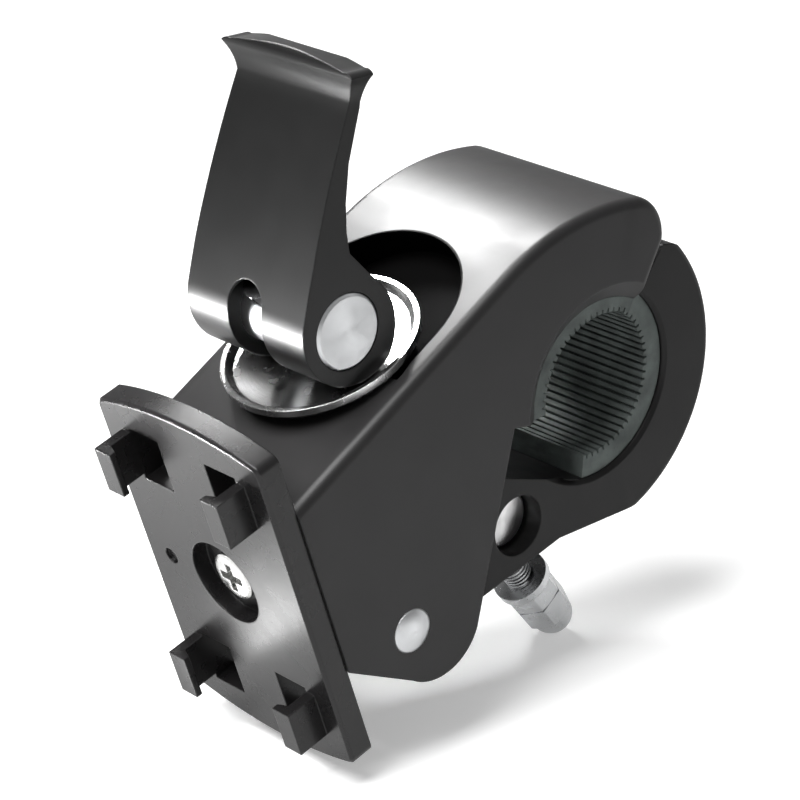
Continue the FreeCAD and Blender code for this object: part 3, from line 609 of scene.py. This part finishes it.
class MOUNT_OT_plate_screw(PieceOperator, bpy.types.Operator):
    """Finish the claw plate's screw"""

    bl_idname = "mount.plate_screw"
    bl_label = "Plate Screw"

    def execute(self, context):
        look = context.scene.mount_metals
        dress("plate_screw", steel("screw_steel", look.screw, look.zinc_rough))
        return {"FINISHED"}


def aim(obj, place, target, roll=0.0):
    obj.location = place
    obj.rotation_mode = "QUATERNION"
    turn = (Vector(target) - Vector(place)).to_track_quat("-Z", "Y")
    obj.rotation_quaternion = turn @ Quaternion((0.0, 0.0, 1.0), roll)


def soft_lamp(name, power, place, target, size, spread=180.0, roll=0.0):
    """Rectangular lamp, with its spread and roll in degrees."""
    data = bpy.data.lights.new(name, "AREA")
    data.shape = "RECTANGLE"
    data.size, data.size_y = size
    data.energy = power
    data.spread = math.radians(spread)
    lamp = bpy.data.objects.new(name, data)
    bpy.context.scene.collection.objects.link(lamp)
    lamp.visible_camera = False
    aim(lamp, place, target, math.radians(roll))


def floor_material(look):
    """Floor seen white, most of all far off, with the shadow kept."""
    shader = Shader("pale_floor", 0.9)
    rays = shader.add("ShaderNodeLightPath").outputs
    seen = rays["Is Camera Ray"]
    shader.put("Base Color", shader.blend(seen, look.floor, look.floor_seen))
    shader.put("Emission Color", WHITE)
    away = shader.distance(shader.place)
    white = shader.ranged(away, GLOW_NEAR, GLOW_FAR, look.floor_glow, FAR_GLOW)
    part = shader.maths("MULTIPLY_ADD", rays["Is Glossy Ray"], look.mirrored, seen)
    shader.put("Emission Strength", shader.maths("MULTIPLY", part, white))
    return shader.material


def lay_floor(look):
    made = bmesh.new()
    bmesh.ops.create_grid(made, x_segments=1, y_segments=1, size=look.floor_half)
    level = Matrix.Translation((0.0, 0.0, CAD_BOX[0].z - look.floor_gap))
    bmesh.ops.transform(made, matrix=level, verts=made.verts)
    mesh = bpy.data.meshes.new("floor")
    made.to_mesh(mesh)
    made.free()
    mesh.materials.append(floor_material(look))
    floor = bpy.data.objects.new("floor", mesh)
    bpy.context.scene.collection.objects.link(floor)


def set_world(look):
    """Pale sky that the camera sees as white."""
    world = bpy.data.worlds.new("studio")
    bpy.context.scene.world = world
    world.use_nodes = True
    tree = world.node_tree
    back = tree.nodes["Background"]
    back.inputs["Color"].default_value = (*WHITE, 1.0)
    rays = tree.nodes.new("ShaderNodeLightPath")
    level = tree.nodes.new("ShaderNodeMapRange")
    level.inputs["To Min"].default_value = look.world
    level.inputs["To Max"].default_value = 1.0
    tree.links.new(rays.outputs["Is Camera Ray"], level.inputs["Value"])
    tree.links.new(level.outputs["Result"], back.inputs["Strength"])


def set_lamps(look):
    """Near lamp at the back left, a wide one above, a low one in front, two below."""
    lowest, highest = CAD_BOX
    soft_lamp(
        "key_lamp",
        look.key,
        place=(-0.112, 0.011, 0.162),
        target=(0.030, -0.016, 0.026),
        size=(0.070, 0.100),
        spread=40.0,
    )
    soft_lamp(
        "top_lamp",
        look.top,
        place=(-0.020, -0.360, 0.560),
        target=(lowest + highest) / 2,
        size=(0.500, 0.500),
    )
    soft_lamp(
        "fill_lamp",
        look.fill,
        place=(-0.092, -0.146, -0.042),
        target=(0.004, -0.055, 0.023),
        size=(0.070, 0.018),
        spread=22.0,
    )
    soft_lamp(
        "floor_lamp",
        look.bounce,
        place=(-0.0500, -0.105, OVER_FLOOR),
        target=(-0.0500, -0.105, 0.0),
        size=(0.090, 0.055),
    )
    soft_lamp(
        "strip_lamp",
        look.strip,
        place=(-0.0345, -0.091, OVER_FLOOR),
        target=(-0.0345, -0.091, 0.0),
        size=(0.060, 0.022),
        roll=-35.5,
    )


def set_camera(look):
    """Camera along its azimuth and elevation, stepped aside to frame the mount."""
    data = bpy.data.cameras.new("camera")
    data.sensor_width = 36.0
    data.lens = look.lens
    data.clip_start = 0.01
    data.clip_end = 20.0
    camera = bpy.data.objects.new("camera", data)
    bpy.context.scene.collection.objects.link(camera)
    sin_a, cos_a = math.sin(look.azimuth), math.cos(look.azimuth)
    sin_e, cos_e = math.sin(look.elevation), math.cos(look.elevation)
    outward = Vector((sin_a * cos_e, -cos_a * cos_e, sin_e))
    right = Vector((cos_a, sin_a, 0.0))
    upward = outward.cross(right)
    place = outward * look.distance + right * look.side + upward * look.rise
    aim(camera, place, place - outward)
    bpy.context.scene.camera = camera


class MOUNT_OT_studio(PieceOperator, bpy.types.Operator):
    """Set the floor, sky, lamps and camera"""

    bl_idname = "mount.studio"
    bl_label = "Studio"

    def execute(self, context):
        look = context.scene.mount_studio
        lay_floor(look)
        set_world(look)
        set_lamps(look)
        set_camera(look)
        context.scene.view_settings.view_transform = "Standard"
        return {"FINISHED"}


OPERATORS = (
    MOUNT_OT_plastics,
    MOUNT_OT_liners,
    MOUNT_OT_pins,
    MOUNT_OT_rod_and_nuts,
    MOUNT_OT_rod_thread,
    MOUNT_OT_dished_washer,
    MOUNT_OT_plate_screw,
    MOUNT_OT_studio,
)
GROUPS = {
    "mount_plastics": MountPlastics,
    "mount_metals": MountMetals,
    "mount_thread": RodThread,
    "mount_studio": Studio,
}


class MOUNT_PT_panel(bpy.types.Panel):
    """Sizes, colours and pieces of the phone mount"""

    bl_idname = "MOUNT_PT_panel"
    bl_label = "Phone Mount"
    bl_space_type = "VIEW_3D"
    bl_region_type = "UI"
    bl_category = "Phone Mount"

    def draw(self, context):
        layout = self.layout
        for operator in OPERATORS:
            layout.operator(operator.bl_idname)
        for group_name, group in GROUPS.items():
            box = layout.box()
            box.label(text=group.__doc__)
            for key in group.__annotations__:
                box.prop(getattr(context.scene, group_name), key)


def register():
    for group in GROUPS.values():
        bpy.utils.register_class(group)
    for operator in OPERATORS:
        bpy.utils.register_class(operator)
    bpy.utils.register_class(MOUNT_PT_panel)
    for group_name, group in GROUPS.items():
        setattr(bpy.types.Scene, group_name, PointerProperty(type=group))


def unregister():
    for group_name in GROUPS:
        delattr(bpy.types.Scene, group_name)
    bpy.utils.unregister_class(MOUNT_PT_panel)
    for operator in reversed(OPERATORS):
        bpy.utils.unregister_class(operator)
    for group in reversed(list(GROUPS.values())):
        bpy.utils.unregister_class(group)


def main():
    """Build every piece in order."""
    register()
    bpy.ops.mount.plastics()
    bpy.ops.mount.liners()
    bpy.ops.mount.pins()
    bpy.ops.mount.rod_and_nuts()
    bpy.ops.mount.rod_thread()
    bpy.ops.mount.dished_washer()
    bpy.ops.mount.plate_screw()
    bpy.ops.mount.studio()


if __name__ == "__main__":
    main()
